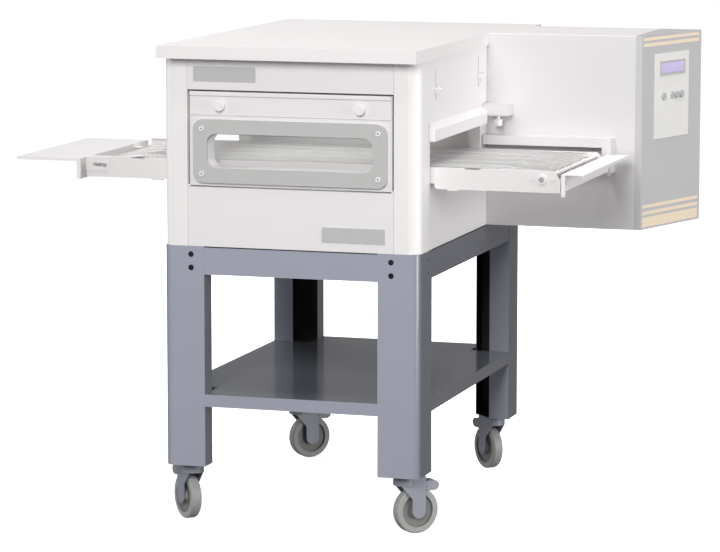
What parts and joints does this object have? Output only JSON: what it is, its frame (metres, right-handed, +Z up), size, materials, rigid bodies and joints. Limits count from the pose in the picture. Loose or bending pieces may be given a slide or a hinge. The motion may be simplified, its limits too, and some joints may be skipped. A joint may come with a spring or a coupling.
{
  "type": "conveyor pizza oven on a wheeled stand",
  "caption": "Compact conveyor pizza oven with a wire belt, an inspection door and a side control box, on a stand with a shelf and castors.",
  "frame": {"origin": "middle of the footprint, on the floor under the wheels", "axes": "+X along the belt from the entry table to the control end, -Y the side with the inspection door, +Z up"},
  "size_m": [1.4386, 0.9216, 1.087],
  "materials": {
    "stand_paint": "gloss",
    "casing_steel": "satin",
    "cover_steel": "satin",
    "chamber_steel": "satin",
    "trim_enamel": "satin",
    "knob_plastic": "matte",
    "glass": "gloss",
    "panel_film": "satin",
    "display_lens": "gloss",
    "button_rubber": "matte",
    "wire_steel": "satin",
    "shaft_steel": "polished",
    "castor_zinc": "satin",
    "wheel_nylon": "satin",
    "motor_paint": "satin",
    "gland_plastic": "matte"
  },
  "bodies": {
    "oven": {"back_panel": "casing_steel", "base_pan": "casing_steel", "cable_gland": "gland_plastic", "castor_plates": "castor_zinc", "chamber_liner": "chamber_steel", "control_box": "casing_steel", "control_plate": "panel_film", "conveyor_belt": "wire_steel", "conveyor_frame": "casing_steel", "corner_posts": "casing_steel", "display_bezel": "knob_plastic", "display_screen": "display_lens", "drive_motor": "motor_paint", "fan_motor": "motor_paint", "fascia_housing": "trim_enamel", "front_panels": "casing_steel", "heating_elements": "chamber_steel", "jet_ducts": "chamber_steel", "name_plates": "casing_steel", "rear_guard": "casing_steel", "shelf_tray": "stand_paint", "side_bracket": "casing_steel", "side_panels": "casing_steel", "stand_legs": "stand_paint", "stand_rails": "stand_paint", "support_wires": "wire_steel", "top_cover": "cover_steel"},
    "castor_front_left": {"castor_fork_front_left": "castor_zinc"},
    "wheel_front_left": {"castor_wheel_front_left": "wheel_nylon"},
    "pedal_front_left": {"brake_pedal_front_left": "castor_zinc"},
    "castor_front_right": {"castor_fork_front_right": "castor_zinc"},
    "wheel_front_right": {"castor_wheel_front_right": "wheel_nylon"},
    "pedal_front_right": {"brake_pedal_front_right": "castor_zinc"},
    "castor_rear_left": {"castor_fork_rear_left": "castor_zinc"},
    "wheel_rear_left": {"castor_wheel_rear_left": "wheel_nylon"},
    "pedal_rear_left": {"brake_pedal_rear_left": "castor_zinc"},
    "castor_rear_right": {"castor_fork_rear_right": "castor_zinc"},
    "wheel_rear_right": {"castor_wheel_rear_right": "wheel_nylon"},
    "pedal_rear_right": {"brake_pedal_rear_right": "castor_zinc"},
    "door": {"door_panel": "casing_steel", "knob_strip": "casing_steel", "window_bezel": "trim_enamel", "window_glass": "glass", "door_knobs": "knob_plastic", "bezel_screws": "shaft_steel"},
    "hood_left": {"hood_left": "casing_steel"},
    "hood_right": {"hood_right": "casing_steel"},
    "wing_nut_left_front": {"wing_nut_left_front": "shaft_steel"},
    "wing_nut_left_rear": {"wing_nut_left_rear": "shaft_steel"},
    "wing_nut_right_front": {"wing_nut_right_front": "shaft_steel"},
    "wing_nut_right_rear": {"wing_nut_right_rear": "shaft_steel"},
    "start_button": {"start_button": "button_rubber"},
    "menu_button": {"menu_button": "button_rubber"},
    "lower_button": {"lower_button": "button_rubber"},
    "raise_button": {"raise_button": "button_rubber"},
    "drive_shaft": {"drive_shaft": "shaft_steel"},
    "idler_shaft": {"idler_shaft": "shaft_steel"},
    "circulation_fan": {"circulation_fan": "chamber_steel"},
    "entry_table": {"entry_table": "cover_steel"},
    "exit_table": {"exit_table": "cover_steel"}
  },
  "joints": [
    {"name": "swivel_front_left", "type": "hinge", "parent": "oven", "child": "castor_front_left", "pos_m": [-0.28325, -0.37676, 0.128], "axis": [0, 0, 1], "continuous": true},
    {"name": "roll_front_left", "type": "hinge", "parent": "castor_front_left", "child": "wheel_front_left", "pos_m": [-0.30305, -0.35696, 0.052], "axis": [0.7071, 0.7071, 0], "continuous": true},
    {"name": "brake_front_left", "type": "hinge", "parent": "castor_front_left", "child": "pedal_front_left", "pos_m": [-0.31153, -0.34848, 0.111], "axis": [-0.7071, -0.7071, 0], "range_deg": [0, 18]},
    {"name": "swivel_front_right", "type": "hinge", "parent": "oven", "child": "castor_front_right", "pos_m": [0.21875, -0.37676, 0.128], "axis": [0, 0, 1], "continuous": true},
    {"name": "roll_front_right", "type": "hinge", "parent": "castor_front_right", "child": "wheel_front_right", "pos_m": [0.23855, -0.35696, 0.052], "axis": [0.7071, -0.7071, 0], "continuous": true},
    {"name": "brake_front_right", "type": "hinge", "parent": "castor_front_right", "child": "pedal_front_right", "pos_m": [0.24703, -0.34848, 0.111], "axis": [-0.7071, 0.7071, 0], "range_deg": [0, 18]},
    {"name": "swivel_rear_left", "type": "hinge", "parent": "oven", "child": "castor_rear_left", "pos_m": [-0.28325, 0.39324, 0.128], "axis": [0, 0, 1], "continuous": true},
    {"name": "roll_rear_left", "type": "hinge", "parent": "castor_rear_left", "child": "wheel_rear_left", "pos_m": [-0.26345, 0.41303, 0.052], "axis": [0.7071, -0.7071, 0], "continuous": true},
    {"name": "brake_rear_left", "type": "hinge", "parent": "castor_rear_left", "child": "pedal_rear_left", "pos_m": [-0.25497, 0.42152, 0.111], "axis": [-0.7071, 0.7071, 0], "range_deg": [0, 18]},
    {"name": "swivel_rear_right", "type": "hinge", "parent": "oven", "child": "castor_rear_right", "pos_m": [0.21875, 0.39324, 0.128], "axis": [0, 0, 1], "continuous": true},
    {"name": "roll_rear_right", "type": "hinge", "parent": "castor_rear_right", "child": "wheel_rear_right", "pos_m": [0.19895, 0.41303, 0.052], "axis": [0.7071, 0.7071, 0], "continuous": true},
    {"name": "brake_rear_right", "type": "hinge", "parent": "castor_rear_right", "child": "pedal_rear_right", "pos_m": [0.19047, 0.42152, 0.111], "axis": [-0.7071, -0.7071, 0], "range_deg": [0, 18]},
    {"name": "door_hinge", "type": "hinge", "parent": "oven", "child": "door", "pos_m": [-0.03225, -0.42276, 0.7732], "axis": [1, 0, 0], "range_deg": [0, 90]},
    {"name": "hood_left_height", "type": "slide", "parent": "oven", "child": "hood_left", "axis": [0, 0, 1], "range_m": [-0.043, 0.019]},
    {"name": "hood_right_height", "type": "slide", "parent": "oven", "child": "hood_right", "axis": [0, 0, 1], "range_m": [-0.043, 0.019]},
    {"name": "wing_nut_left_front_turn", "type": "hinge", "parent": "oven", "child": "wing_nut_left_front", "pos_m": [-0.33125, -0.29906, 0.9915], "axis": [-1, 0, 0], "continuous": true},
    {"name": "wing_nut_left_rear_turn", "type": "hinge", "parent": "oven", "child": "wing_nut_left_rear", "pos_m": [-0.33125, 0.05634, 0.9915], "axis": [-1, 0, 0], "continuous": true},
    {"name": "wing_nut_right_front_turn", "type": "hinge", "parent": "oven", "child": "wing_nut_right_front", "pos_m": [0.26675, -0.29906, 0.9915], "axis": [1, 0, 0], "continuous": true},
    {"name": "wing_nut_right_rear_turn", "type": "hinge", "parent": "oven", "child": "wing_nut_right_rear", "pos_m": [0.26675, 0.05634, 0.9915], "axis": [1, 0, 0], "continuous": true},
    {"name": "start_button_press", "type": "slide", "parent": "oven", "child": "start_button", "axis": [-0.9513, 0.3082, 0], "range_m": [0, 0.0025], "stiffness_N_per_m": 300, "springref_m": -0.002},
    {"name": "menu_button_press", "type": "slide", "parent": "oven", "child": "menu_button", "axis": [-0.9513, 0.3082, 0], "range_m": [0, 0.0025], "stiffness_N_per_m": 300, "springref_m": -0.002},
    {"name": "lower_button_press", "type": "slide", "parent": "oven", "child": "lower_button", "axis": [-0.9513, 0.3082, 0], "range_m": [0, 0.0025], "stiffness_N_per_m": 300, "springref_m": -0.002},
    {"name": "raise_button_press", "type": "slide", "parent": "oven", "child": "raise_button", "axis": [-0.9513, 0.3082, 0], "range_m": [0, 0.0025], "stiffness_N_per_m": 300, "springref_m": -0.002},
    {"name": "drive_shaft_turn", "type": "hinge", "parent": "oven", "child": "drive_shaft", "pos_m": [0.51975, -0.12846, 0.8025], "axis": [0, 1, 0], "continuous": true},
    {"name": "idler_shaft_turn", "type": "hinge", "parent": "oven", "child": "idler_shaft", "pos_m": [-0.50625, -0.12846, 0.8025], "axis": [0, 1, 0], "continuous": true},
    {"name": "circulation_fan_turn", "type": "hinge", "parent": "oven", "child": "circulation_fan", "pos_m": [-0.03225, 0.13824, 0.945], "axis": [0, 1, 0], "continuous": true},
    {"name": "entry_table_lift", "type": "slide", "parent": "oven", "child": "entry_table", "axis": [0, 0, 1], "range_m": [0, 0.05]},
    {"name": "exit_table_lift", "type": "slide", "parent": "oven", "child": "exit_table", "axis": [0, 0, 1], "range_m": [0, 0.05]}
  ],
  "couplings": [
    {"joint": "idler_shaft_turn", "follows": "drive_shaft_turn", "ratio": 1}
  ]
}
